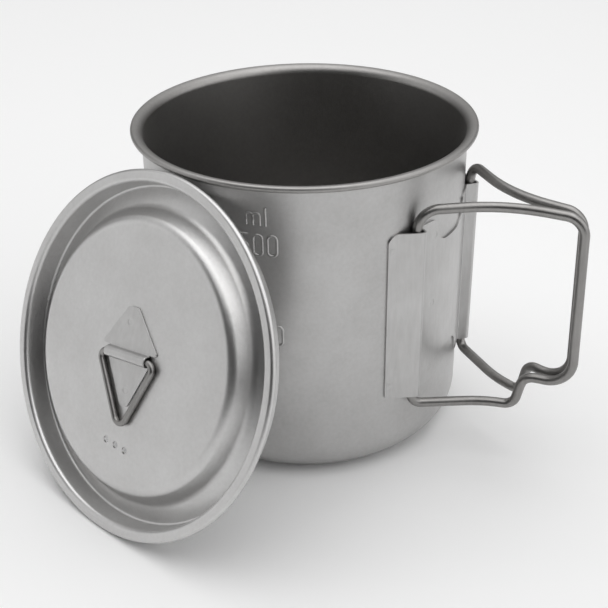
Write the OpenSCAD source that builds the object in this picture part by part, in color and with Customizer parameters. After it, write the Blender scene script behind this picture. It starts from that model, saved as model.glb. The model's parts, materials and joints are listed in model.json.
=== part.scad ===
// Camping cook pot set: a deep-drawn pot with two folding wire handles in a
// welded bracket, and a lid with a folding pull ring that leans on the pot.
// Millimetres, +Z up. The origin is the centre of the pot's base on the ground,
// and the handles reach out along +X.

/* [Pot] */
// Height from the ground to the top of the rim
pot_h = 94.3; // [88:0.1:100]
// Outer radius of the straight wall
wall_r = 47; // [45:0.1:48]
// Thickness of the drawn sheet
pot_t = 0.5; // [0.4:0.05:0.7]
// Outer radius of the corner between the wall and the base
base_corner_r = 10.5; // [6:0.5:14]
// Outer radius of the rim
rim_r = 50; // [49.5:0.1:51]
// Radius of the rolled bead at the rim's edge
bead_r = 0.85; // [0.7:0.05:1]

/* [Handle bracket] */
// Thickness of the bracket's sheet
bracket_t = 0.5; // [0.4:0.05:0.6]
// Height of the bracket's lower edge above the ground
bracket_z0 = 23.8; // [23.6:0.1:25]
// Height of the bracket's upper edge above the ground
bracket_z1 = 76.4; // [74:0.1:77]
// Bearing of the bracket's outer edges from the +X axis
bracket_half_angle = 32.6; // [32:0.1:36]
// Depth of the round notches in the middle plate
notch_depth = 8; // [6:0.5:12]
// Width of the notches
notch_w = 17.2; // [16:0.2:20]

/* [Handles] */
// Diameter of the handle wire
wire_d = 2.8; // [2.6:0.1:2.9]
// Bearing of each wire's hinge axis from the +X axis
hinge_angle = 22.2; // [22:0.1:23]
// Height of the upper run of each loop
top_run_z = 82.2; // [81.8:0.1:83]
// Height of the lower run near the pot
low_run_z = 20.5; // [19:0.1:20.6]
// Height of the lower run past the finger step
finger_run_z = 30.6; // [29:0.1:32]
// How far both loops are swung towards -Y at rest
swing = 1.7; // [0:0.1:3]

/* [Lid] */
// Outer radius of the lid's lip
lid_r = 50.3; // [50:0.1:51]
// Thickness of the lid's sheet
lid_t = 0.5; // [0.4:0.05:0.6]
// Depth of the lid's plug below its lip
plug_depth = 6.9; // [6:0.1:8]
// Height of the lid's plateau above its lip
plateau_h = 0.9; // [0:0.1:2]
// Bearing of the leaning lid as seen from the pot's axis
lid_bearing = -103.6; // [-115:0.1:-90]
// Lean of the lid's plane away from the vertical
lid_lean = 22; // [20:0.1:24]
// Sideways offset of the leaning lid
lid_side = 2.2; // [-3:0.1:3]

/* [Pull ring] */
// Diameter of the ring's wire
ring_d = 1.8; // [1.6:0.1:2]
// Half of the ring's straight base, to the sharp corner
ring_half_base = 11.3; // [10.5:0.1:12]
// Height of the ring's triangle, to the sharp corner
ring_h = 21; // [19:0.5:22]
// Thickness of the tab that holds the ring
tab_t = 0.45; // [0.4:0.05:0.6]
// Turn of the tab and the ring about the lid's axis
tab_turn = 8.5; // [0:0.5:15]

/* [Hidden] */
$fn = 96;
titanium = [0.62, 0.61, 0.6];
wire_grey = [0.42, 0.4, 0.39];

// ---- Outlines: a strip of sheet bent along a line with rounded corners ----

function unit(v) = v / norm(v);
function left(v) = [-v.y, v.x];
function heading(v) = atan2(v.y, v.x);
function wrap(a) = a - 360 * floor((a + 180) / 360);

// Points of the arc that rounds the corner at b between a and c
function corner(a, b, c, r) =
    let (u = unit(b - a), w = unit(c - b), turn = wrap(heading(w) - heading(u)))
    abs(turn) < 0.01 || r == 0 ? [b] :
    let (side = sign(turn), start = b - u * r * tan(abs(turn) / 2),
         centre = start + left(u) * r * side, n = max(3, ceil(abs(turn) / 6)))
    [for (i = [0 : n])
        let (h = heading(u) + turn * i / n)
        centre - left([cos(h), sin(h)]) * r * side];

// A line of [x, y, corner radius] rows as a list of points
function bent(rows) = [
    for (i = [0 : len(rows) - 1])
        let (p = [rows[i].x, rows[i].y])
        if (i == 0 || i == len(rows) - 1) p
        else each corner([rows[i - 1].x, rows[i - 1].y], p,
                         [rows[i + 1].x, rows[i + 1].y], rows[i].z)];

function side_of(p, i, d) =
    let (a = i == 0 ? p[1] - p[0] : p[i] - p[i - 1],
         b = i == len(p) - 1 ? a : p[i + 1] - p[i],
         m = unit(unit(a) + unit(b)))
    p[i] + left(m) * d / (left(m) * left(unit(a)));

// Sheet of thickness t whose middle follows the line
module sheet(rows, t) {
    p = bent(rows);
    left_side = [for (i = [0 : len(p) - 1]) side_of(p, i, t / 2)];
    right_side = [for (i = [len(p) - 1 : -1 : 0]) side_of(p, i, -t / 2)];
    polygon(concat(left_side, right_side));
}

module rounded_rect(x0, y0, x1, y1, r) {
    translate([x0 + r, y0]) square([x1 - x0 - 2 * r, y1 - y0]);
    translate([x0, y0 + r]) square([x1 - x0, y1 - y0 - 2 * r]);
    for (x = [x0 + r, x1 - r], y = [y0 + r, y1 - r]) translate([x, y]) circle(r);
}

// ---- Wire: straights and bends laid end to end ----

function shift(v) = [[1, 0, 0, v.x], [0, 1, 0, v.y], [0, 0, 1, v.z], [0, 0, 0, 1]];
function spin(a) = [[cos(a), -sin(a), 0, 0], [sin(a), cos(a), 0, 0], [0, 0, 1, 0], [0, 0, 0, 1]];
function tip(a) = [[cos(a), 0, sin(a), 0], [0, 1, 0, 0], [-sin(a), 0, cos(a), 0], [0, 0, 0, 1]];
start_up = shift([0, 0, 0]);

// Steps are ["line", length] or ["bend", radius, angle, bearing]. A bend turns
// the wire from its heading +Z towards the bearing, and the frame never twists.
function moved(m, s, f) =
    s[0] == "line" ? m * shift([0, 0, s[1] * f]) :
    let (a = s[2] * f)
    m * spin(s[3]) * shift([s[1] * (1 - cos(a)), 0, s[1] * sin(a)]) * tip(a) * spin(-s[3]);

function rings_in(s) = s[0] == "line" ? 1 : ceil(s[2] / (s[1] > 20 ? 4 : 11));

function frames(steps, m = start_up, i = 0) =
    i == len(steps) ? [m] :
    let (s = steps[i], n = rings_in(s))
    concat([for (k = [0 : n - 1]) moved(m, s, k / n)],
           frames(steps, moved(m, s, 1), i + 1));

// Round wire of diameter d along the steps
module wire(d, steps, sides = 16) {
    at = frames(steps);
    points = [for (m = at, k = [0 : sides - 1])
        let (a = 360 * k / sides, p = m * [cos(a) * d / 2, sin(a) * d / 2, 0, 1])
        [p.x, p.y, p.z]];
    skin = [for (i = [0 : len(at) - 2], k = [0 : sides - 1])
        let (here = i * sides + k, next = i * sides + (k + 1) % sides)
        each [[here, here + sides, next + sides], [here, next + sides, next]]];
    last = (len(at) - 1) * sides;
    caps = [[for (k = [0 : sides - 1]) k], [for (k = [sides - 1 : -1 : 0]) last + k]];
    polyhedron(points, concat(skin, caps));
}

// ---- Pot ----

// The edge of a sheet curled down and back into a bead that reaches out to r
function curled_edge(r, z, bead, t) =
    let (out = r - t / 2, bend = bead - t / 2, under = z - 2 * bend - 0.02)
    [[out, z, bend], [out, under, bend], [out - bend - 0.25, under, 0]];

module pot_body() color(titanium) {
    mid_r = wall_r - pot_t / 2;
    mid_top = pot_h - pot_t / 2;
    flare = rim_r - bead_r - mid_r - 0.05;
    rotate_extrude()
        sheet(concat([[0, pot_t / 2, 0], [mid_r, pot_t / 2, base_corner_r - pot_t / 2],
                      [mid_r, mid_top, flare]],
                     curled_edge(rim_r, mid_top, bead_r, pot_t)), pot_t);
}

// ---- Handle bracket ----

// The hinge axis stands just clear of the wall
wire_gap = 0.08;
hinge_r = wall_r + 0.1 + wire_d / 2;
// Slopes of the cover's two sides, from the wall's tangent
ramp_slope = 32;
steep_slope = 75;
crease_r = 0.85;
seat_r = wall_r + 0.03 + bracket_t / 2;
cover_gap = wire_d / 2 + wire_gap + bracket_t / 2;
// The crease above the wire, and where the two sides land, about the hinge axis
half_crease = (180 - ramp_slope - steep_slope) / 2;
crease_dir = (steep_slope - ramp_slope) / 2;
crease = [cos(crease_dir), sin(crease_dir)] * cover_gap / sin(half_crease);
ramp_dir = [-sin(ramp_slope), -cos(ramp_slope)];
steep_dir = [-sin(steep_slope), cos(steep_slope)];

// Where a line from p along d, about the hinge axis, first reaches the seat
function landing(p, d) =
    let (q = [hinge_r, 0] + p, b = q * d, c = q * q - seat_r * seat_r)
    q + d * (-b - sqrt(b * b - c));
ramp_foot = landing(crease, ramp_dir);
steep_foot = landing(crease, steep_dir);

function seat_point(a) = [seat_r * cos(a), seat_r * sin(a), 0];
function turned(p, a, r) = [p.x * cos(a) - p.y * sin(a), p.x * sin(a) + p.y * cos(a), r];
function seat_arc(a0, a1, n) = [for (i = [0 : n]) seat_point(a0 + (a1 - a0) * i / n)];

// The bracket's section: its -Y half to the middle, then the other half
half_section = concat(
    seat_arc(-bracket_half_angle, heading(ramp_foot) - hinge_angle - 0.6, 2),
    [turned(ramp_foot, -hinge_angle, 1),
     turned([hinge_r, 0] + crease, -hinge_angle, crease_r),
     turned(steep_foot, -hinge_angle, 0.6)],
    seat_arc(heading(steep_foot) - hinge_angle + 1.2, 0, 9));
section = concat(half_section,
    [for (i = [len(half_section) - 2 : -1 : 0])
        [half_section[i].x, -half_section[i].y, half_section[i].z]]);

// Bearing, height and radius of each weld: outer flanges, then middle plate
mid_z = (bracket_z0 + bracket_z1) / 2;
weld_rise = 21.6;
flange_welds = [for (k = [-1, 1]) [31, mid_z + k * weld_rise, 0.8]];
middle_welds = [for (k = [-1, 0, 1]) [12, mid_z + k * weld_rise, 1.1]];

module each_weld() {
    for (side = [-1, 1], w = concat(flange_welds, middle_welds))
        rotate([0, 0, side * w[0]]) translate([wall_r - 0.5, 0, w[1]])
            rotate([0, 90, 0]) cylinder(r = w[2], h = 2, $fn = 32);
}

// Side outline of a flange as seen square to it
module flange_outline() {
    w = 16;
    top_r = 3.4;
    difference() {
        translate([0, bracket_z0]) square([w, bracket_z1 - bracket_z0]);
        translate([0, bracket_z1 - top_r]) difference() {
            translate([-1, 0]) square([top_r + 1, top_r + 1]);
            translate([top_r, 0]) circle(top_r);
        }
        translate([0, bracket_z0 + 2.4]) mirror([0, 1]) difference() {
            translate([-1, 0]) square([3.4, 3.4]);
            translate([2.4, 0]) circle(2.4);
        }
    }
}

// Round-bottomed notch with eased lips, open towards +Y
module notch() {
    lip = 2.6;
    r = 5.6;
    rounded_rect(-notch_w / 2, -notch_depth, notch_w / 2, lip + 6, r);
    for (side = [-1, 1]) difference() {
        translate([side > 0 ? notch_w / 2 - 0.01 : -notch_w / 2 - lip + 0.01, -lip])
            square([lip, lip + 6]);
        translate([side * (notch_w / 2 + lip), -lip]) circle(lip);
    }
}

module bracket_outlines() {
    flange_reach = 2 * wall_r;
    edge = wall_r * sin(bracket_half_angle - 27) + 0.3;
    for (side = [-1, 1]) scale([1, side, 1])
        rotate([0, 0, -27]) translate([0, -edge, 0])
            rotate([90, 0, 90]) linear_extrude(flange_reach) intersection() {
                flange_outline();
                square([edge + 8, 2 * pot_h]);
            }
    half_w = 17.5;
    rotate([90, 0, 90]) linear_extrude(flange_reach) difference() {
        translate([-half_w, bracket_z0]) square([2 * half_w, bracket_z1 - bracket_z0]);
        translate([0, bracket_z1]) notch();
        translate([0, bracket_z0]) mirror([0, 1]) notch();
    }
}

module handle_bracket() color(titanium) difference() {
    intersection() {
        translate([0, 0, bracket_z0 - 1]) linear_extrude(bracket_z1 - bracket_z0 + 2)
            sheet(section, bracket_t);
        bracket_outlines();
    }
    each_weld();
}

// Nuggets that fill the bracket's weld holes and end just below its face
module bracket_spot_welds() color(titanium) intersection() {
    each_weld();
    difference() {
        cylinder(r = wall_r + bracket_t - 0.08, h = pot_h);
        translate([0, 0, -1]) cylinder(r = wall_r, h = pot_h + 2);
    }
}

// ---- Handle wires ----

top_end_bend = 5.7;
low_end_bend = 3.2;
top_corner = 5.2;
low_corner = 7.8;
step_r = 3.6;
step_angle = 78;
grip_lean = 1.6;
run_dir = 39.1;
first_run = 12.1;
hug_r = 38.8;
hug_angle = 33.4;
finger_bend_r = 12;
finger_bend = 10;
finger_lead = 0.6;
low_hug_r = 34;
grip_reach = 10;
butt_gap = 0.6;
// Extra turn of the near loop, which keeps the two grips from touching
apart = 0.75;

// Plan of the loop about its hinge axis: out along the hugging bend to the grip
out_dir = run_dir - hug_angle;
function along(a) = [cos(a), sin(a)];
hug_start = along(run_dir) * first_run;
hug_end = hug_start + hug_r * ([sin(run_dir), -cos(run_dir)] - [sin(out_dir), -cos(out_dir)]);
grip_drop = top_run_z - finger_run_z;
grip_at = hug_end + along(out_dir) * (grip_reach + grip_drop * tan(grip_lean));
// Behind the grip the lower run bends towards the pot and steps down to clear a finger
low_cut = low_corner * tan((90 + grip_lean) / 2);
back_dir = out_dir + finger_bend;
step_rise = finger_run_z - low_run_z;
step_line = (step_rise - 2 * step_r * (1 - cos(step_angle))) / sin(step_angle);
step_reach = 2 * step_r * sin(step_angle) + step_line * cos(step_angle);
step_end = grip_at - along(out_dir) * low_cut - along(back_dir) * (finger_lead + step_reach)
    + finger_bend_r * ([sin(out_dir), -cos(out_dir)] - [sin(back_dir), -cos(back_dir)]);
// From there it hugs the pot until it heads straight for the hinge axis
low_centre = step_end + low_hug_r * [sin(back_dir), -cos(back_dir)];
home_run = sqrt(low_centre * low_centre - low_hug_r * low_hug_r);
home_dir = heading(-low_centre) + atan2(low_hug_r, home_run) - 180;
low_hug = wrap(home_dir - back_dir);

loop_steps = [
    ["line", top_run_z - top_end_bend - mid_z - butt_gap / 2],
    ["bend", top_end_bend, 90, run_dir],
    ["line", first_run - top_end_bend],
    ["bend", hug_r, hug_angle, run_dir - 90],
    ["line", grip_reach - top_corner * tan((90 - grip_lean) / 2)],
    ["bend", top_corner, 90 - grip_lean, run_dir],
    ["line", grip_drop / cos(grip_lean) - top_corner * tan((90 - grip_lean) / 2) - low_cut],
    ["bend", low_corner, 90 + grip_lean, run_dir],
    ["bend", finger_bend_r, finger_bend, run_dir - 90],
    ["line", finger_lead],
    ["bend", step_r, step_angle, run_dir + 180],
    ["line", step_line],
    ["bend", step_r, step_angle, run_dir],
    ["bend", low_hug_r, low_hug, run_dir - 90],
    ["line", home_run - low_end_bend],
    ["bend", low_end_bend, 90, run_dir],
    ["line", mid_z - butt_gap / 2 - low_run_z - low_end_bend]];

// One loop about its hinge axis, swung out of its symmetric place by a turn.
// Both of its legs are round journals, which turn in the bracket's sleeve.
module handle_loop(turn) {
    journal_r = wire_d / 2 + 0.02;
    inset = 0.5;
    rotate([0, 0, -hinge_angle]) translate([hinge_r, 0, 0]) {
        rotate([0, 0, hinge_angle + turn]) translate([0, 0, mid_z + butt_gap / 2])
            wire(wire_d, loop_steps, 20);
        for (ends = [[low_run_z + low_end_bend, mid_z - butt_gap / 2],
                     [mid_z + butt_gap / 2, top_run_z - top_end_bend]])
            translate([0, 0, ends[0] + inset])
                cylinder(r = journal_r, h = ends[1] - ends[0] - 2 * inset, $fn = 48);
    }
}

module handle_wire_near() color(wire_grey) handle_loop(-swing - apart);

module handle_wire_far() color(wire_grey) mirror([0, 1, 0]) handle_loop(swing);

// ---- Lid, in its own frame: +Z out of its face, origin at its lip's centre ----

plug_r = 46.65;
plug_bend = 0.9;
lip_in_r = 47.1;
shoulder_r = 37;
foot_r = 40.3;
foot_h = -4.3;
roll_r = 1;
hole_r = 1;
hole_row_y = -25.1;
hole_row_x = 1.9;
hole_pitch = 3.9;

module lid_shell_flat() {
    t = lid_t;
    difference() {
        rotate_extrude()
            sheet(concat([[0, plateau_h - t / 2, 0], [20, plateau_h - t / 2, 0],
                          [shoulder_r, plateau_h - 0.15 - t / 2, 3.2],
                          [foot_r, foot_h - t / 2, 4], [plug_r, -plug_depth - t / 2, plug_bend],
                          [lip_in_r, -t / 2, 1.1]],
                         curled_edge(lid_r, -t / 2, roll_r, t)), t);
        for (i = [-1, 0, 1]) translate([hole_row_x + i * hole_pitch, hole_row_y, 0])
            cylinder(r = hole_r, h = 2 * plateau_h, $fn = 32);
    }
}

// Tab in the lid's frame, with the ring's axis along X at this height
ring_axis_h = plateau_h + 0.08 + ring_d / 2;
knuckle_in_r = ring_d / 2 + 0.06;
knuckle_half = 7.3;
tab_half_l = 13.6;
tab_half_w = 11;
tab_seat = plateau_h + 0.02;
tab_weld_y = 9.2;

module tab_outline() {
    r = 1.9;
    tip_y = tab_half_l - r;
    side_x = tab_half_w - r;
    hull() for (p = [[0, tip_y], [side_x, 1.6], [-side_x, 1.6]])
        translate(p) circle(p.x == 0 ? r : 0.6, $fn = 32);
    hull() for (p = [[0, -tip_y], [knuckle_half - 0.6, 0], [0.6 - knuckle_half, 0]])
        translate(p) circle(p.x == 0 ? r : 0.6, $fn = 32);
}

module tab_flat() {
    difference() {
        union() {
            translate([0, 0, tab_seat]) linear_extrude(tab_t) difference() {
                tab_outline();
                for (side = [-1, 1]) translate([side * (knuckle_half + 4), -0.6])
                    square([8, 4.6], center = true);
            }
            intersection() {
                translate([-knuckle_half, 0, ring_axis_h]) rotate([0, 90, 0])
                    cylinder(r = knuckle_in_r + tab_t, h = 2 * knuckle_half, $fn = 48);
                translate([-10, -5, tab_seat]) cube([20, 10, 5]);
            }
        }
        translate([-10, 0, ring_axis_h]) rotate([0, 90, 0])
            cylinder(r = knuckle_in_r, h = 20, $fn = 48);
        translate([-10, -knuckle_in_r, tab_seat - 1])
            cube([20, 2 * knuckle_in_r, ring_axis_h - tab_seat + 1]);
        for (y = [-tab_weld_y, tab_weld_y]) translate([0, y, 0])
            cylinder(r = 1.1, h = 2 * plateau_h, $fn = 32);
    }
}

module tab_welds_flat() {
    for (y = [-tab_weld_y, tab_weld_y]) translate([0, y, tab_seat])
        cylinder(r = 1.1, h = tab_t - 0.08, $fn = 32);
}

// The ring lies folded over the tab's lower half, and its ends meet in the knuckle
ring_leg_angle = atan2(ring_h, ring_half_base);
ring_corner = 1.8;
ring_tip = 2.4;
ring_corner_cut = ring_corner * tan((180 - ring_leg_angle) / 2);
ring_tip_cut = ring_tip * tan(ring_leg_angle);
ring_leg = norm([ring_half_base, ring_h]) - ring_corner_cut - ring_tip_cut;
ring_end_gap = 0.3;
ring_steps = [
    ["line", ring_half_base - ring_corner_cut - ring_end_gap],
    ["bend", ring_corner, 180 - ring_leg_angle, 0],
    ["line", ring_leg],
    ["bend", ring_tip, 2 * ring_leg_angle, 0],
    ["line", ring_leg],
    ["bend", ring_corner, 180 - ring_leg_angle, 0],
    ["line", ring_half_base - ring_corner_cut - ring_end_gap]];

module ring_flat() {
    translate([ring_end_gap, 0, ring_axis_h]) rotate([90, 0, 90]) rotate([0, 0, 180])
        wire(ring_d, ring_steps);
}

// ---- The leaning lid: its lip on the ground, its plug's corner against the pot's wall ----

roll_c = lid_r - roll_r;
lid_z = roll_c * cos(lid_lean) + roll_r * sin(lid_lean) + roll_r + 0.01;
rest_gap = 0.08;
// Centre of the bend in the plug's corner, on the line that halves the corner
corner_at = [plug_r, -plug_depth - lid_t / 2];
foot_at = [foot_r, foot_h - lid_t / 2];
lip_at = [lip_in_r, -lid_t / 2];
to_foot = (foot_at - corner_at) / norm(foot_at - corner_at);
to_lip = (lip_at - corner_at) / norm(lip_at - corner_at);
half_corner = acos(to_foot * to_lip) / 2;
halving = (to_foot + to_lip) / norm(to_foot + to_lip);
bend_centre = corner_at + halving * plug_bend / sin(half_corner);
plug_reach = bend_centre * [sin(lid_lean), -cos(lid_lean)] + plug_bend + lid_t / 2;
lid_reach = wall_r + rest_gap + plug_reach;

module leaning() {
    rotate([0, 0, lid_bearing]) translate([lid_reach, lid_side, lid_z])
        rotate([0, 90 - lid_lean, 0]) rotate([0, 0, 90]) children();
}

module lid_shell() color(titanium) leaning() lid_shell_flat();

module on_lid() leaning() rotate([0, 0, tab_turn]) children();

module lid_tab() color(titanium) on_lid() tab_flat();

module tab_spot_welds() color(titanium) on_lid() tab_welds_flat();

module pull_ring() color(wire_grey) on_lid() ring_flat();

pot_body();
handle_bracket();
bracket_spot_welds();
handle_wire_near();
handle_wire_far();
lid_shell();
lid_tab();
tab_spot_welds();
pull_ring();
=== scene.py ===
import json
from math import atan2, ceil, cos, degrees, hypot, pi, radians, sin, sqrt, tan

import bmesh
import bpy
from mathutils import Matrix, Vector


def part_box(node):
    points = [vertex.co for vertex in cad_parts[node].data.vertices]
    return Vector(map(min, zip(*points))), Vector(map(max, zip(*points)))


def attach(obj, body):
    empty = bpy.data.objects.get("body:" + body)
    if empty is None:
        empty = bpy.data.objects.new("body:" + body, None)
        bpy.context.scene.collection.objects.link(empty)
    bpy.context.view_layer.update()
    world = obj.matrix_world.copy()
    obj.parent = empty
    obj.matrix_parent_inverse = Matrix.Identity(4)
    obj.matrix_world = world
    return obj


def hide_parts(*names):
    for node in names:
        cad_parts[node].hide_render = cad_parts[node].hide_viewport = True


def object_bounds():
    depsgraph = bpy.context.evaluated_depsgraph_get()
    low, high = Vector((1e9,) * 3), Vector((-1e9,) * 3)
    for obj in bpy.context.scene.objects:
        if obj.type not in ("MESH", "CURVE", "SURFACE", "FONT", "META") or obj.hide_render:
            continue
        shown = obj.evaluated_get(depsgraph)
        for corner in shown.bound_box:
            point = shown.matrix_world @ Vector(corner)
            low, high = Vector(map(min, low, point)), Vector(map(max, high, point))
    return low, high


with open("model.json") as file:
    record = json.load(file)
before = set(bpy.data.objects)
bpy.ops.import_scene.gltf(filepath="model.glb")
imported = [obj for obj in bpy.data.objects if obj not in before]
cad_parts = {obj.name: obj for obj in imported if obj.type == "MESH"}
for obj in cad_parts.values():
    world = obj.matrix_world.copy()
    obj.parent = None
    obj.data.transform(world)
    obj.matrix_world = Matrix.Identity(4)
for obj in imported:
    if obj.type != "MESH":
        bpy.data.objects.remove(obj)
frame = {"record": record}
cad_box = [list(v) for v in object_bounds()]
MM = 0.001
joints = {j["name"]: j for j in frame["record"]["behaviour"]["joints"]}

# ---- Dimensions, in millimetres and degrees ------------------------------
pot_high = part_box("pot_body")[1]
bracket_low, bracket_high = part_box("handle_bracket")
POT_H = pot_high.z / MM
RIM_R = pot_high.x / MM
WALL_R = 47
SHEET_T = 0.5
BASE_CORNER_R = 10.5
BEAD_R = 0.85
BRACKET_Z0 = bracket_low.z / MM
BRACKET_Z1 = bracket_high.z / MM
BRACKET_HALF_ANGLE = 32.6
WIRE_D = 2.8
RING_D = 1.8
LID_R = 50.3
PLATEAU_H = 0.9
PLUG_DEPTH = 6.9
TAB_TURN = 8.5
RING_LIFT = 0.08

# ---- Fineness of the meshes ----------------------------------------------
MERGE_DIST = 1e-4
SHARP_ANGLE = 35
SHARP_SHEET_ANGLE = 50
LATHE_SIDES = 288
STRAIGHT_TURN = 1e-4
SHARPEST_MITRE = 0.2


# ---- Lines with rounded corners -----------------------------------------
def corner(a, b, c, r, step=5):
    """Points of the arc of radius r that rounds the corner at b."""
    u, w = (b - a).normalized(), (c - b).normalized()
    turn = atan2(u.x * w.y - u.y * w.x, u.dot(w))
    if abs(turn) < STRAIGHT_TURN or r == 0:
        return [b]
    side = 1 if turn > 0 else -1
    start = b - u * r * tan(abs(turn) / 2)
    centre = start + Vector((-u.y, u.x)) * r * side
    n = max(3, ceil(abs(degrees(turn)) / step))
    spun = [Matrix.Rotation(turn * i / n, 2) @ (start - centre) for i in range(n + 1)]
    return [centre + v for v in spun]


def bent(rows, step=5):
    """A line of (x, y, corner radius) rows as a list of points."""
    p = [Vector(r[:2]) for r in rows]
    out = [p[0]]
    for i in range(1, len(p) - 1):
        out += corner(p[i - 1], p[i], p[i + 1], rows[i][2], step)
    return out + [p[-1]]


def beside(p, d):
    """The line p moved sideways by d, to its left."""
    out = []
    for i in range(len(p)):
        a = (p[i] - p[i - 1] if i else p[1] - p[0]).normalized()
        b = (p[i + 1] - p[i] if i < len(p) - 1 else a).normalized()
        m = (a + b).normalized()
        out.append(p[i] + Vector((-m.y, m.x)) * d / max(SHARPEST_MITRE, m.dot(a)))
    return out


# ---- Mesh helpers --------------------------------------------------------
def finish_mesh(name, bm, place=Matrix.Identity(4), sharp=SHARP_ANGLE):
    """An object from a bmesh in millimetres, smooth but for its sharp edges."""
    bmesh.ops.remove_doubles(bm, verts=bm.verts, dist=MERGE_DIST)
    bmesh.ops.recalc_face_normals(bm, faces=bm.faces)
    mesh = bpy.data.meshes.new(name)
    bm.to_mesh(mesh)
    bm.free()
    mesh.transform(place @ Matrix.Scale(MM, 4))
    for p in mesh.polygons:
        p.use_smooth = True
    mesh.set_sharp_from_angle(angle=radians(sharp))
    obj = bpy.data.objects.new(name, mesh)
    bpy.context.scene.collection.objects.link(obj)
    return obj


def add_piece(obj, body, material_slot, nodes, *materials):
    """Gives a mesh its materials, the nodes it replaces and its body; its material slot is not
    used.
    """
    for m in materials:
        obj.data.materials.append(m)
    if nodes:
        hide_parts(*nodes)
    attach(obj, body)


def revolved(outline, second_from):
    """Lathed outline of (r, z) points. Faces from second_from on take material 1."""
    bm = bmesh.new()
    rings = []
    for k in range(LATHE_SIDES):
        a = 2 * pi * k / LATHE_SIDES
        rings.append([bm.verts.new((p.x * cos(a), p.x * sin(a), p.y)) for p in outline])
    for k in range(LATHE_SIDES):
        here, there = rings[k], rings[(k + 1) % LATHE_SIDES]
        for i in range(len(outline) - 1):
            f = bm.faces.new((here[i], there[i], there[i + 1], here[i + 1]))
            if i >= second_from:
                f.material_index = 1
    bmesh.ops.remove_doubles(bm, verts=bm.verts, dist=MERGE_DIST)
    bmesh.ops.dissolve_degenerate(bm, edges=bm.edges, dist=MERGE_DIST / 10)
    return bm


def curled_edge(r, z, bead):
    """The rows of a sheet's edge that curls down and back into a bead."""
    flat, tail = 0.02, 0.25
    out, bend = r - SHEET_T / 2, bead - SHEET_T / 2
    under = z - 2 * bend - flat
    return [(out, z, bend), (out, under, bend), (out - bend - tail, under, 0)]


def lathe_sheet(rows):
    """A revolved sheet. Material 0 is on the line's right side, 1 on its left."""
    line = bent(rows)
    outline = beside(line, -SHEET_T / 2) + beside(line, SHEET_T / 2)[::-1]
    return revolved(outline, second_from=len(line))


def resampled(line, step, fine=None, is_fine=lambda p: False):
    """Points along the line, closer together where its outline turns steeply."""
    out = [line[0]]
    for a, b in zip(line, line[1:]):
        n = max(1, ceil((b - a).length / (fine if is_fine((a + b) / 2) else step)))
        out += [a + (b - a) * k / n for k in range(1, n + 1)]
    return out


def eased(depth, r):
    """How far a corner of radius r cuts back at this distance from the side."""
    return r - sqrt(max(0, r * r - max(0, r - depth) ** 2))


def weld_dent(distance, depth):
    """Depth of a weld's dent at this distance from its centre, in radii."""
    inward = 1 - distance
    return depth * min(1, 3 * inward) * (1 - 0.35 * inward)


def close_sheet(bm, front, rear):
    """Faces of a sheet between two grids of vertices, and of its four edges."""
    n = len(front[0]) - 1
    for side in (front, rear):
        for a, b in zip(side, side[1:]):
            for i in range(n):
                bm.faces.new((a[i], b[i], b[i + 1], a[i + 1]))
    for i in (0, -1):
        for k in range(len(front) - 1):
            bm.faces.new((front[k][i], front[k + 1][i], rear[k + 1][i], rear[k][i]))
        for k in range(n):
            bm.faces.new((front[i][k], front[i][k + 1], rear[i][k + 1], rear[i][k]))


# ---- Wire: straights and bends laid end to end ---------------------------
def moved(m, s, f):
    """The frame m carried along a fraction f of the step s."""
    if s[0] == "line":
        return m @ Matrix.Translation((0, 0, s[1] * f))
    _, r, angle, bearing = s
    a = radians(angle) * f
    turn = Matrix.Rotation(radians(bearing), 4, "Z")
    bend = Matrix.Translation((r * (1 - cos(a)), 0, r * sin(a))) @ Matrix.Rotation(a, 4, "Y")
    return m @ turn @ bend @ turn.inverted()


def wire(d, steps, sides=32, end_round=0.25):
    """Round wire along ("line", length) and ("bend", radius, angle, bearing) steps."""
    ring_every, least_on_line, least_on_bend = 4, 2, 4
    at = []
    m = Matrix.Identity(4)
    for s in steps:
        least, size = (least_on_line, s[1]) if s[0] == "line" else (least_on_bend, s[2])
        n = max(least, ceil(size / ring_every))
        at += [(moved(m, s, k / n), d / 2) for k in range(n)]
        m = moved(m, s, 1)

    def rounded_end(end, way, angles):
        """Rings of the rounded edge at one end, with the wire lying that way from it."""
        return [
            (
                end @ Matrix.Translation((0, 0, way * end_round * (1 - cos(radians(a))))),
                d / 2 - end_round * (1 - sin(radians(a))),
            )
            for a in angles
        ]

    at = rounded_end(at[0][0], 1, (0, 30, 60, 90)) + at[1:] + rounded_end(m, -1, (90, 30, 0))
    circle = [Vector((cos(2 * pi * k / sides), sin(2 * pi * k / sides), 0)) for k in range(sides)]
    bm = bmesh.new()
    rings = [[bm.verts.new(ring_at @ (v * r)) for v in circle] for ring_at, r in at]
    for a, b in zip(rings, rings[1:]):
        for k in range(sides):
            bm.faces.new((a[k], a[(k + 1) % sides], b[(k + 1) % sides], b[k]))
    bm.faces.new(rings[0][::-1])
    bm.faces.new(rings[-1])
    return bm


# ---- Materials -----------------------------------------------------------
FINE_GRAIN, COARSE_GRAIN, RUB_SIZE = 2600, 900, 160
GRAIN_DEPTH = 0.00004
BLOTCH_SHARE, COARSE_SHARE = 0.55, 0.45
ROUGH_BELOW, ROUGH_ABOVE = 0.05, 0.06
SCUFF_SMOOTHING = 0.036


def noise(nodes, links, coords, scale, detail, rough, stretch=None):
    """Noise over the coordinates, drawn out along an axis by stretch."""
    n = nodes.new("ShaderNodeTexNoise")
    n.inputs["Scale"].default_value = scale
    n.inputs["Detail"].default_value = detail
    n.inputs["Roughness"].default_value = rough
    if stretch:
        m = nodes.new("ShaderNodeMapping")
        m.inputs["Scale"].default_value = stretch
        links.new(coords, m.inputs["Vector"])
        coords = m.outputs["Vector"]
    links.new(coords, n.inputs["Vector"])
    return n.outputs["Fac"]


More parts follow.
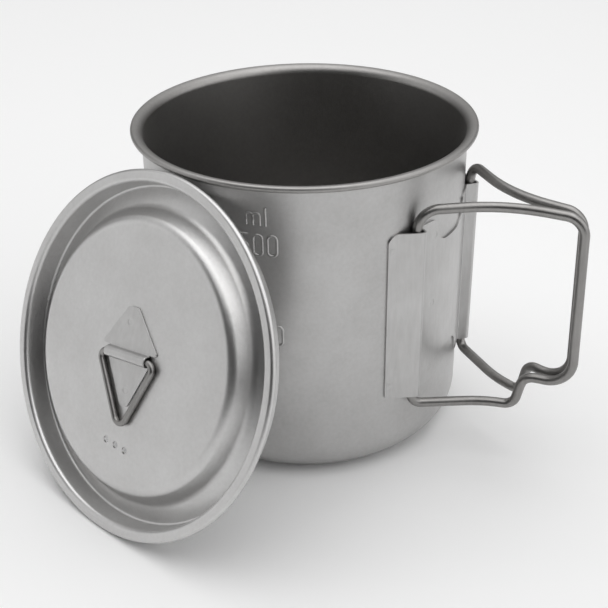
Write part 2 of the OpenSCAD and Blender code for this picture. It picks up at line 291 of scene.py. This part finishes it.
def ramp(nodes, links, value, low, high, to_low=0.0, to_high=1.0, ease="LINEAR"):
    """The value's range from low to high, mapped onto another range."""
    r = nodes.new("ShaderNodeMapRange")
    r.interpolation_type = ease
    r.inputs["From Min"].default_value = low
    r.inputs["From Max"].default_value = high
    r.inputs["To Min"].default_value = to_low
    r.inputs["To Max"].default_value = to_high
    links.new(value, r.inputs["Value"])
    return r.outputs["Result"]


def sums(nodes, links, operation, *values):
    """A math node over sockets and plain numbers."""
    n = nodes.new("ShaderNodeMath")
    n.operation = operation
    for socket, value in zip(n.inputs, values):
        if isinstance(value, float):
            socket.default_value = value
        else:
            links.new(value, socket)
    return n.outputs[0]


def titanium(name, dark, light, rough, grain=0.5, blotch=70, streaks=None):
    """Titanium with a fine blasted grain, soft blotches and faint rubbed marks."""
    mat = bpy.data.materials.new(name)
    mat.use_nodes = True
    nodes, links = mat.node_tree.nodes, mat.node_tree.links
    bsdf = nodes["Principled BSDF"]
    bsdf.inputs["Metallic"].default_value = 1.0
    coords = nodes.new("ShaderNodeTexCoord").outputs["Object"]
    blotches = noise(nodes, links, coords, blotch, 4, 0.6)
    fine = noise(nodes, links, coords, FINE_GRAIN, 2, 0.7)
    coarse = noise(nodes, links, coords, COARSE_GRAIN, 3, 0.6, streaks)
    rubbed = noise(nodes, links, coords, RUB_SIZE, 6, 0.75)

    colour = nodes.new("ShaderNodeMix")
    colour.data_type = "RGBA"
    colour.inputs["A"].default_value = (*dark, 1)
    colour.inputs["B"].default_value = (*light, 1)
    blotch_part = ramp(nodes, links, blotches, 0.3, 0.7)
    coarse_part = ramp(nodes, links, coarse, 0.25, 0.75, 0, COARSE_SHARE)
    shade = sums(nodes, links, "MULTIPLY_ADD", blotch_part, BLOTCH_SHARE, coarse_part)
    links.new(shade, colour.inputs["Factor"])
    links.new(colour.outputs["Result"], bsdf.inputs["Base Color"])

    grainy = ramp(nodes, links, fine, 0.2, 0.8, rough - ROUGH_BELOW, rough + ROUGH_ABOVE)
    polished = ramp(nodes, links, rubbed, 0.55, 0.8, 0, -SCUFF_SMOOTHING)
    links.new(sums(nodes, links, "ADD", grainy, polished), bsdf.inputs["Roughness"])

    bump = nodes.new("ShaderNodeBump")
    bump.inputs["Strength"].default_value = grain
    bump.inputs["Distance"].default_value = GRAIN_DEPTH
    links.new(sums(nodes, links, "ADD", fine, coarse), bump.inputs["Height"])
    links.new(bump.outputs["Normal"], bsdf.inputs["Normal"])
    return mat


def grey(v, warm):
    return v * (1 + warm), v, v * (1 - warm)


blasted = titanium("blasted_titanium", grey(0.44, 0.012), grey(0.54, 0.006), 0.40)
# The pot's inner surface: a darker, warmer grey, partly an oxide tone and partly painted shade of
# the pot's hollow
inside = titanium("pot_inside_oxide_and_painted_shade", grey(0.30, 0.03), grey(0.38, 0.02), 0.42, blotch=45)
lid_metal = titanium("lid_titanium", grey(0.52, 0.01), grey(0.62, 0.005), 0.34)
pressed = titanium(
    "pressed_titanium", grey(0.44, 0.012), grey(0.56, 0.006), 0.36, streaks=(1, 1, 0.15)
)
drawn_wire = titanium(
    "drawn_wire", grey(0.22, 0.03), grey(0.34, 0.02), 0.34, grain=0.35, streaks=(1, 1, 0.1)
)

# ---- Pot -----------------------------------------------------------------
mid_r = WALL_R - SHEET_T / 2
mid_top = POT_H - SHEET_T / 2
pot_rows = [
    (0, SHEET_T / 2, 0),
    (mid_r, SHEET_T / 2, BASE_CORNER_R - SHEET_T / 2),
    (mid_r, mid_top, RIM_R - BEAD_R - mid_r - 0.05),
] + curled_edge(RIM_R, mid_top, BEAD_R)
pot = finish_mesh("pot_shell", lathe_sheet(pot_rows))
add_piece(pot, "pot", "titanium_sheet", ["pot_body"], blasted, inside)

# ---- Handle wires --------------------------------------------------------
TOP_RUN_Z = 82.2
LOW_RUN_Z = 20.5
FINGER_RUN_Z = 30.6
HINGE_ANGLE = 22.2
HINGE_R = WALL_R + 0.1 + WIRE_D / 2
SWING = 1.7
APART = 0.75
BUTT_GAP = 0.6
TOP_END_BEND, LOW_END_BEND, TOP_CORNER, LOW_CORNER = 5.7, 3.2, 5.2, 7.8
STEP_R, STEP_ANGLE = 3.6, 78
GRIP_LEAN = 1.6
RUN_DIR, FIRST_RUN = 39.1, 12.1
HUG_R, HUG_ANGLE = 38.8, 33.4
FINGER_BEND_R, FINGER_BEND, FINGER_LEAD = 12, 10, 0.6
LOW_HUG_R = 34
GRIP_REACH = 10
MID_Z = (BRACKET_Z0 + BRACKET_Z1) / 2


def along(a):
    """Unit vector in plan at this angle."""
    return Vector((cos(radians(a)), sin(radians(a))))


def arc_shift(a, b):
    """Plan movement along a unit-radius bend to the right from heading a to b."""
    return Vector((sin(radians(a)) - sin(radians(b)), cos(radians(b)) - cos(radians(a))))


def loop_steps():
    """Steps of one handle wire, from its upper end out to the grip and back."""
    out_dir = RUN_DIR - HUG_ANGLE
    grip_drop = TOP_RUN_Z - FINGER_RUN_Z
    hug_end = along(RUN_DIR) * FIRST_RUN + arc_shift(RUN_DIR, out_dir) * HUG_R
    grip = hug_end + along(out_dir) * (GRIP_REACH + grip_drop * tan(radians(GRIP_LEAN)))
    low_cut = LOW_CORNER * tan(radians(90 + GRIP_LEAN) / 2)
    top_cut = TOP_CORNER * tan(radians(90 - GRIP_LEAN) / 2)
    back = out_dir + FINGER_BEND
    slope = radians(STEP_ANGLE)
    step_line = (FINGER_RUN_Z - LOW_RUN_Z - 2 * STEP_R * (1 - cos(slope))) / sin(slope)
    step_reach = 2 * STEP_R * sin(slope) + step_line * cos(slope)
    step_end = grip - along(out_dir) * low_cut - along(back) * (FINGER_LEAD + step_reach)
    step_end += arc_shift(out_dir, back) * FINGER_BEND_R
    centre = step_end + LOW_HUG_R * Vector((sin(radians(back)), -cos(radians(back))))
    home_run = sqrt(centre.length_squared - LOW_HUG_R**2)
    home_dir = degrees(atan2(-centre.y, -centre.x) + atan2(LOW_HUG_R, home_run)) - 180
    low_hug = (home_dir - back + 180) % 360 - 180
    return [
        ("line", TOP_RUN_Z - TOP_END_BEND - MID_Z - BUTT_GAP / 2),
        ("bend", TOP_END_BEND, 90, RUN_DIR),
        ("line", FIRST_RUN - TOP_END_BEND),
        ("bend", HUG_R, HUG_ANGLE, RUN_DIR - 90),
        ("line", GRIP_REACH - top_cut),
        ("bend", TOP_CORNER, 90 - GRIP_LEAN, RUN_DIR),
        ("line", grip_drop / cos(radians(GRIP_LEAN)) - top_cut - low_cut),
        ("bend", LOW_CORNER, 90 + GRIP_LEAN, RUN_DIR),
        ("bend", FINGER_BEND_R, FINGER_BEND, RUN_DIR - 90),
        ("line", FINGER_LEAD),
        ("bend", STEP_R, STEP_ANGLE, RUN_DIR + 180),
        ("line", step_line),
        ("bend", STEP_R, STEP_ANGLE, RUN_DIR),
        ("bend", LOW_HUG_R, low_hug, RUN_DIR - 90),
        ("line", home_run - LOW_END_BEND),
        ("bend", LOW_END_BEND, 90, RUN_DIR),
        ("line", MID_Z - BUTT_GAP / 2 - LOW_RUN_Z - LOW_END_BEND),
    ]


def handle(name, body, node, turn, side):
    """One wire loop about its hinge axis; side -1 is the mirrored one."""
    turned = Matrix.Rotation(radians(HINGE_ANGLE + turn), 4, "Z")
    start = Matrix.Translation((0, 0, MID_Z + BUTT_GAP / 2))
    out = Matrix.Rotation(radians(-HINGE_ANGLE), 4, "Z") @ Matrix.Translation((HINGE_R, 0, 0))
    flip = Matrix.Diagonal((1, side, 1, 1))
    bm = wire(WIRE_D, loop_steps())
    bm.transform(flip @ out @ turned @ start)
    add_piece(finish_mesh(name, bm), body, "titanium_wire", [node], drawn_wire)


handle("near_handle_loop", "handle_near", "handle_wire_near", -SWING - APART, 1)
handle("far_handle_loop", "handle_far", "handle_wire_far", SWING, -1)

# ---- Lid, in its own frame: +Z out of its face, origin at its lip's centre
out_axis = Vector(joints["lid_lift"]["axis"]).normalized()
lid_x = Vector((-out_axis.y, out_axis.x, 0)).normalized()
lid_y = out_axis.cross(lid_x)
ring_axis_h = PLATEAU_H + RING_LIFT + RING_D / 2
ring_at = Vector(joints["pull_ring_fold"]["pos_m"]) / MM
lid_centre = ring_at - out_axis * ring_axis_h
lid_turn = Matrix((lid_x, lid_y, out_axis)).transposed().to_4x4()
leaning = Matrix.Translation(lid_centre * MM) @ lid_turn
on_tab = leaning @ Matrix.Rotation(radians(TAB_TURN), 4, "Z")

PLUG_R, PLUG_BEND = 46.65, 0.9
LIP_IN_R = 47.1
SHOULDER_R = 37
FOOT_R, FOOT_H = 40.3, -4.3
ROLL_R = 1
top = PLATEAU_H - SHEET_T / 2
low = -PLUG_DEPTH - SHEET_T / 2
lid_rows = [
    (0, top, 0),
    (10, top, 0),
    (20, top, 0),
    (22.5, top - 0.02, 0),
    (27.5, top - 0.06, 0),
    (SHOULDER_R, top - 0.15, 3.2),
    (FOOT_R, FOOT_H - SHEET_T / 2, 4),
    (PLUG_R, low, PLUG_BEND),
    (LIP_IN_R, -SHEET_T / 2, 1.1),
] + curled_edge(LID_R, -SHEET_T / 2, ROLL_R)
lid = finish_mesh("lid_dish", lathe_sheet(lid_rows), leaning)

HOLE_R = 1.0
HOLE_ROW = (1.9, -25.1)
HOLE_PITCH = 3.9
CUT_DEPTH = 4
cutters = bmesh.new()
for i in (-1, 0, 1):
    spot = Matrix.Translation((HOLE_ROW[0] + i * HOLE_PITCH, HOLE_ROW[1], PLATEAU_H))
    rod = {"segments": 32, "radius1": HOLE_R, "radius2": HOLE_R, "depth": CUT_DEPTH}
    bmesh.ops.create_cone(cutters, cap_ends=True, matrix=spot, **rod)
cutter = finish_mesh("vent_hole_cutter", cutters, leaning)
cut = lid.modifiers.new("vent_holes", "BOOLEAN")
cut.object = cutter
cut.solver = "EXACT"
pierced = lid.evaluated_get(bpy.context.evaluated_depsgraph_get())
cut_mesh = bpy.data.meshes.new_from_object(pierced)
cut_mesh.set_sharp_from_angle(angle=radians(SHARP_ANGLE))
lid.modifiers.clear()
lid.data = cut_mesh
bpy.data.objects.remove(cutter)
add_piece(lid, "lid", "titanium_sheet", ["lid_shell"], lid_metal)

# ---- Pull ring -----------------------------------------------------------
RING_HALF_BASE = 11.3
RING_H = 21
RING_CORNER, RING_TIP = 1.8, 2.4
RING_END_GAP, RING_END_ROUND = 0.3, 0.12
RING_SIDES = 24
leg_angle = degrees(atan2(RING_H, RING_HALF_BASE))
corner_cut = RING_CORNER * tan(radians(180 - leg_angle) / 2)
tip_cut = RING_TIP * tan(radians(leg_angle))
leg = hypot(RING_HALF_BASE, RING_H) - corner_cut - tip_cut
half_base = ("line", RING_HALF_BASE - corner_cut - RING_END_GAP)
base_bend = ("bend", RING_CORNER, 180 - leg_angle, 0)
one_side = [half_base, base_bend, ("line", leg)]
tip_bend = ("bend", RING_TIP, 2 * leg_angle, 0)
ring = wire(RING_D, one_side + [tip_bend] + one_side[::-1], RING_SIDES, RING_END_ROUND)
# The wire starts along +Z and bends towards +X: laid along the lid's X, down its face
lie_down = Matrix.Rotation(radians(90), 4, "Z") @ Matrix.Rotation(radians(90), 4, "X")
face_down = lie_down @ Matrix.Rotation(pi, 4, "Z")
ring.transform(Matrix.Translation((RING_END_GAP, 0, ring_axis_h)) @ face_down)
ring_loop = finish_mesh("pull_ring_loop", ring, on_tab)
add_piece(ring_loop, "lid_ring", "titanium_wire", ["pull_ring"], drawn_wire)

# ---- Handle bracket: one pressed sheet, as a fine grid with weld dents ----
RAMP_SLOPE, STEEP_SLOPE = 32, 75
CREASE_R = 0.85
# At the foot of the ramp and of the steep side: bend, and angle left free beside it
FOOT_BENDS, FOOT_LEADS = (1.2, 0.8), (0.6, 1.2)
WIRE_GAP = 0.08
NOTCH_DEPTH, NOTCH_HALF_W, NOTCH_R, NOTCH_LIP = 8, 8.6, 5.6, 2.6
FLANGE_TOP_R, FLANGE_LOW_R = 3.4, 2.4
FLANGE_TURN = 27
WELD_RISE = 21.6
# Rows of welds: angle from the bracket's middle, radius, rises and depth of the dent
WELD_ROWS = ((31, 0.95, (-1, 1), 0.16), (12, 1.2, (-1, 0, 1), 0.14))
BRACKET_ROWS = 190
BRACKET_STEP, BRACKET_FINE_STEP = 0.35, 0.1
STEEP_WITHIN = 1.2
seat_r = WALL_R + 0.03 + SHEET_T / 2
cover_gap = WIRE_D / 2 + WIRE_GAP + SHEET_T / 2
half_crease = radians(180 - RAMP_SLOPE - STEEP_SLOPE) / 2
crease = along((STEEP_SLOPE - RAMP_SLOPE) / 2) * cover_gap / sin(half_crease)
edge_shift = WALL_R * sin(radians(BRACKET_HALF_ANGLE - FLANGE_TURN)) + 0.3


def landing(d):
    """Where a line from the crease along d, in the hinge's frame, meets the seat."""
    q = Vector((HINGE_R, 0)) + crease
    b = q.dot(d)
    return q + d * (-b - sqrt(b * b - (q.length_squared - seat_r**2)))


def seated(a, b, n):
    """Rows along the pot's wall from angle a to b."""
    return [(*(along(a + (b - a) * i / n) * seat_r), 0) for i in range(n + 1)]


def bracket_line():
    """Middle line of the sheet in plan, from its -Y edge to its +Y edge."""
    ramp_foot = landing(-along(90 - RAMP_SLOPE))
    steep_foot = landing(Vector((-sin(radians(STEEP_SLOPE)), cos(radians(STEEP_SLOPE)))))
    back = Matrix.Rotation(radians(-HINGE_ANGLE), 2)
    first = degrees(atan2(ramp_foot.y, ramp_foot.x)) - HINGE_ANGLE - FOOT_LEADS[0]
    last = degrees(atan2(steep_foot.y, steep_foot.x)) - HINGE_ANGLE + FOOT_LEADS[1]
    rows = seated(-BRACKET_HALF_ANGLE, first, 6)
    rows += [(*(back @ ramp_foot), FOOT_BENDS[0])]
    rows += [(*(back @ (Vector((HINGE_R, 0)) + crease)), CREASE_R)]
    rows += [(*(back @ steep_foot), FOOT_BENDS[1])]
    rows += seated(last, 0, 24)
    return bent(rows + [(x, -y, r) for x, y, r in rows[-2::-1]], 6)


def notch_cut(y):
    """Depth of the middle plate's notch at this distance from its middle."""
    y = abs(y)
    if y > NOTCH_HALF_W:
        past = NOTCH_HALF_W + NOTCH_LIP - y
        return NOTCH_LIP - sqrt(NOTCH_LIP**2 - past**2) if past > 0 else 0
    inner = max(0, y - (NOTCH_HALF_W - NOTCH_R))
    return NOTCH_DEPTH - NOTCH_R + sqrt(NOTCH_R**2 - inner**2)


def from_edge(p):
    """Distance of a plan point from the bracket's outer edge."""
    q = Matrix.Rotation(radians(FLANGE_TURN), 2) @ Vector((p.x, -abs(p.y)))
    return q.y + edge_shift


def dent(p, z):
    """How far the sheet is pressed in at this point by a weld near it."""
    out = 0
    a = abs(degrees(atan2(p.y, p.x)))
    for at, r, rises, depth in WELD_ROWS:
        for k in rises:
            d = hypot(radians(a - at) * WALL_R, z - MID_Z - k * WELD_RISE) / r
            if d < 1:
                out = max(out, weld_dent(d, depth))
    return out


def is_steep(p):
    """Whether the bracket's outline turns steeply at this plan point."""
    from_notch_side = abs(abs(p.y) - NOTCH_HALF_W)
    return min(from_edge(p), from_notch_side) < STEEP_WITHIN


def bracket_mesh():
    """The pressed sheet between its upper and lower outlines."""
    line = resampled(bracket_line(), BRACKET_STEP, BRACKET_FINE_STEP, is_steep)
    across = beside(line, -1)
    bm = bmesh.new()
    sides = ([], [])
    for p, q in zip(line, across):
        out = (q - p).normalized()
        s = from_edge(p)
        cut = notch_cut(p.y)
        z0 = BRACKET_Z0 + max(cut, eased(s, FLANGE_LOW_R))
        z1 = BRACKET_Z1 - max(cut, eased(s, FLANGE_TOP_R))
        for verts, face in zip(sides, (1, -1)):
            column = []
            for i in range(BRACKET_ROWS + 1):
                z = z0 + (z1 - z0) * i / BRACKET_ROWS
                push = face * SHEET_T / 2 - (dent(p, z) if face > 0 else 0)
                column.append(bm.verts.new((*(p + out * push), z)))
            verts.append(column)
    close_sheet(bm, *sides)
    return bm


bracket = finish_mesh("pressed_bracket", bracket_mesh(), sharp=SHARP_SHEET_ANGLE)
bracket_nodes = ["handle_bracket", "bracket_spot_welds"]
add_piece(bracket, "pot", "titanium_sheet", bracket_nodes, pressed)

# ---- Lid tab: one pressed sheet with a roll over the pull ring ------------
TAB_T = 0.45
TAB_TIP = 13.6
ROLL_HALF = 8
WING = (11.2, 1.95)
WING_TIP, TONGUE_CORNER, TONGUE_TIP = 1.9, -1.8, -16.27
TAB_WELDS = ((-0.7, 9.3), (0.3, -9.2))
TAB_WELD_R, TAB_WELD_DEPTH = 1.15, 0.12
EDGE_R, EDGE_WEAR = 0.12, 0.8
RING_GAP, TAB_LIFT = 0.06, 0.02
TAB_COLUMNS = 56
roll_out = RING_D / 2 + RING_GAP + TAB_T / 2
tab_mid = PLATEAU_H + TAB_LIFT + TAB_T / 2
roll_top = ring_axis_h + roll_out
wings = bent(
    [
        (-WING[0], WING[1], 0),
        (-WING_TIP, TAB_TIP, 1.6),
        (WING_TIP, TAB_TIP, 1.6),
        (*WING, 0.6),
        (ROLL_HALF, WING[1], 0),
    ]
)
tongue = bent(
    [
        (-ROLL_HALF, TONGUE_CORNER, 0),
        (0, TONGUE_TIP, 2.2),
        (ROLL_HALF, TONGUE_CORNER, 0.8),
        (ROLL_HALF, 0, 0),
    ]
)


def half_width(outline, y):
    """Largest x of the outline at this y."""
    out = 0
    for a, b in zip(outline, outline[1:]):
        if min(a.y, b.y) <= y <= max(a.y, b.y):
            f = 0.5 if a.y == b.y else (y - a.y) / (b.y - a.y)
            out = max(out, a.x + (b.x - a.x) * f)
    return out


def tab_width(y):
    """Half width of the tab: its wings, its roll or its tongue."""
    if y > WING[1]:
        return half_width(wings, y)
    return half_width(tongue, y) if y < -1 else ROLL_HALF


def tab_line():
    """Middle line of the tab along its Y, from the wings' tip to the tongue's."""
    rows = [
        (TAB_TIP, tab_mid, 0),
        (1.65, tab_mid, 0.4),
        (roll_out, roll_top, roll_out),
        (-roll_out, roll_top, roll_out - 0.1),
        (-roll_out, tab_mid, 0.3),
        (-TAB_TIP, tab_mid, 0),
    ]
    widens = lambda p: abs(p.x) > TAB_TIP - 1.2 or 1.6 < p.x < 2.5
    return resampled(bent(rows), 0.2, 0.04, widens)


def tab_mesh():
    """The tab's sheet, worn round at its side edges and dented by its welds."""
    line = tab_line()
    rise = beside(line, -1)
    bm = bmesh.new()
    sides = ([], [])
    for p, q in zip(line, rise):
        up = (q - p).normalized()
        w = tab_width(p.x)
        inner = max(0, w - EDGE_R)
        near_edge = w - (w - inner) * 0.3
        xs = [inner * (2 * k / TAB_COLUMNS - 1) for k in range(TAB_COLUMNS + 1)]
        xs = [-w, -near_edge] + xs + [near_edge, w]
        for verts, face in zip(sides, (1, -1)):
            row = []
            for x in xs:
                worn = eased(w - abs(x), EDGE_R) * EDGE_WEAR
                pressed_in = 0
                for wx, wy in TAB_WELDS:
                    d = hypot(x - wx, p.x - wy) / TAB_WELD_R
                    if d < 1 and face > 0:
                        pressed_in = weld_dent(d, TAB_WELD_DEPTH)
                push = face * (TAB_T / 2 - worn) - pressed_in
                row.append(bm.verts.new((x, p.x + up.x * push, p.y + up.y * push)))
            verts.append(row)
    close_sheet(bm, *sides)
    return bm


tab = finish_mesh("ring_tab", tab_mesh(), on_tab, sharp=SHARP_SHEET_ANGLE)
add_piece(tab, "lid", "titanium_sheet", ["lid_tab", "tab_spot_welds"], pressed)

# ---- Raised volume marks on the pot's wall --------------------------------
STROKE_W, STROKE_H, STROKE_SINK = 0.75, 0.3, 0.02
FIGURE_W, FIGURE_H, FIGURE_PITCH = 2.5, 5.9, 3.9
LETTER_H, LETTER_Z = 5.2, 81.9
# Strokes of each glyph: lines of (x in figure widths, y in heights, corner radius)
STROKES = {
    "0": [[(0.5, 1, 0), (1, 1, 1.2), (1, 0, 1.2), (0, 0, 1.2), (0, 1, 1.2), (0.5, 1, 0)]],
    "3": [
        [(0, 1, 0), (1, 1, 1.1), (1, 0.53, 1.1), (0.35, 0.53, 0)],
        [(0.35, 0.53, 0), (1, 0.53, 1.2), (1, 0, 1.2), (0, 0, 0)],
    ],
    "5": [
        [(1, 1, 0), (0.08, 1, 0.2), (0.02, 0.55, 0.1), (1, 0.6, 1.2), (1, 0, 1.3), (0, 0.02, 0)],
    ],
    "m": [
        [(0, 0, 0), (0, 0.66, 0)],
        [(0, 0.3, 0), (0, 0.66, 0.8), (0.75, 0.66, 0.8), (0.75, 0, 0)],
        [(0.75, 0.3, 0), (0.75, 0.66, 0.8), (1.5, 0.66, 0.8), (1.5, 0, 0)],
    ],
    "l": [[(0, 1, 0), (0, 0, 0)]],
}


def raised_mark(bm, glyph, az, z, height):
    """The strokes of one glyph, whose lower left corner is at az and z."""
    for rows in STROKES[glyph]:
        line = bent([(x * FIGURE_W, y * height, r) for x, y, r in rows], 8)
        line = resampled(line, 0.3)
        rings = []
        for k in range(7):
            a = radians(30 * k)
            shifted = beside(line, STROKE_W / 2 * cos(a))
            r = WALL_R + (STROKE_H * sin(a) - STROKE_SINK)
            spots = [(*(along(az + degrees(v.x / WALL_R)) * r), z + v.y) for v in shifted]
            rings.append([bm.verts.new(v) for v in spots])
        for a, b in zip(rings, rings[1:]):
            for i in range(len(a) - 1):
                bm.faces.new((a[i], a[i + 1], b[i + 1], b[i]))
        for i in (0, -1):
            bm.faces.new([r[i] for r in rings])


marks = bmesh.new()
pitch = degrees(FIGURE_PITCH / WALL_R)
for figures, az, z in (("500", -82.0, 73.2), ("300", -80.8, 45.8)):
    for k, f in enumerate(figures):
        raised_mark(marks, f, az + k * pitch, z, FIGURE_H)
for letter, az in (("m", -79.4), ("l", -73.0)):
    raised_mark(marks, letter, az, LETTER_Z, LETTER_H)
add_piece(finish_mesh("volume_marks", marks), "pot", "titanium_sheet", None, blasted)

# ---- Floor ---------------------------------------------------------------
FLOOR_HALF = 40000
FLOOR_DROP = 0.00005
FLOOR_GREY, FLOOR_ROUGH = 0.93, 0.9
bm = bmesh.new()
bmesh.ops.create_grid(bm, x_segments=8, y_segments=8, size=FLOOR_HALF)
floor_z = min(0, cad_box[0][2]) - FLOOR_DROP
floor = finish_mesh("floor", bm, Matrix.Translation((0, 0, floor_z)))
paint = bpy.data.materials.new("pale_floor")
paint.use_nodes = True
floor_bsdf = paint.node_tree.nodes["Principled BSDF"]
floor_bsdf.inputs["Base Color"].default_value = (FLOOR_GREY, FLOOR_GREY, FLOOR_GREY, 1)
floor_bsdf.inputs["Roughness"].default_value = FLOOR_ROUGH
floor.data.materials.append(paint)

# ---- Studio: soft boxes on the left, on the right and overhead -----------
# Direction, outer and inner half angle, level outside and level inside
SOFT_BOXES = (
    ((-0.85, -0.52, 0.0), 45, 15, 0.0, 0.75),
    ((0.95, 0.1, 0.1), 55, 22, 0.0, 0.9),
    ((0.0, 0.1, 1.0), 85, 40, 0.12, 0.8),
)
# The same, as a share of the light that is left in front and above the front
DARK_AREAS = (
    ((0.5, -0.86, 0.05), 40, 18, 1.0, 0.1),
    ((-0.05, -0.78, 0.62), 44, 24, 1.0, 0.1),
)
LAMP_AT, LAMP_LOOK = Vector((0.05, -0.1, 1.3)), Vector((0.01, -0.02, 0.05))
LAMP_SIDE, LAMP_WATTS = 1.6, 9


def lobe(nodes, links, direction, toward, wide, narrow, low, high):
    """low away from the direction toward, rising to high close to it."""
    dot = nodes.new("ShaderNodeVectorMath")
    dot.operation = "DOT_PRODUCT"
    links.new(direction, dot.inputs[0])
    dot.inputs[1].default_value = Vector(toward).normalized()
    value = dot.outputs["Value"]
    outer, inner = cos(radians(wide)), cos(radians(narrow))
    return ramp(nodes, links, value, outer, inner, low, high, "SMOOTHSTEP")


world = bpy.data.worlds.new("studio")
world.use_nodes = True
nodes, links = world.node_tree.nodes, world.node_tree.links
direction = nodes.new("ShaderNodeTexCoord").outputs["Generated"]
level = 0.0
for box in SOFT_BOXES:
    level = sums(nodes, links, "ADD", level, lobe(nodes, links, direction, *box))
for area in DARK_AREAS:
    level = sums(nodes, links, "MULTIPLY", level, lobe(nodes, links, direction, *area))
nodes["Background"].inputs["Color"].default_value = (1, 1, 1, 1)
links.new(level, nodes["Background"].inputs["Strength"])
bpy.context.scene.world = world

lamp = bpy.data.lights.new("overhead", "AREA")
lamp.shape = "RECTANGLE"
lamp.size = lamp.size_y = LAMP_SIDE
lamp.energy = LAMP_WATTS
overhead = bpy.data.objects.new("overhead", lamp)
overhead.location = LAMP_AT
overhead.rotation_euler = (LAMP_LOOK - LAMP_AT).to_track_quat("-Z", "Y").to_euler()
bpy.context.scene.collection.objects.link(overhead)

# ---- Camera --------------------------------------------------------------
CAMERA_AT = (0.15488, -0.26998, 0.21127)
CAMERA_ROLL = radians(-0.83)
right = Vector((0.8660, 0.5, 0))
down = Vector((0.2494, -0.4320, -0.8667))
cam_x = right * cos(CAMERA_ROLL) - down * sin(CAMERA_ROLL)
cam_y = -right * sin(CAMERA_ROLL) - down * cos(CAMERA_ROLL)
cam_turn = Matrix((cam_x, cam_y, cam_x.cross(cam_y))).transposed().to_4x4()
camera = bpy.data.objects.new("camera", bpy.data.cameras.new("camera"))
camera.data.lens = 67.36
camera.data.sensor_width = 36
camera.matrix_world = Matrix.Translation(CAMERA_AT) @ cam_turn
bpy.context.scene.collection.objects.link(camera)
bpy.context.scene.camera = camera
bpy.context.scene.view_settings.view_transform = "Standard"
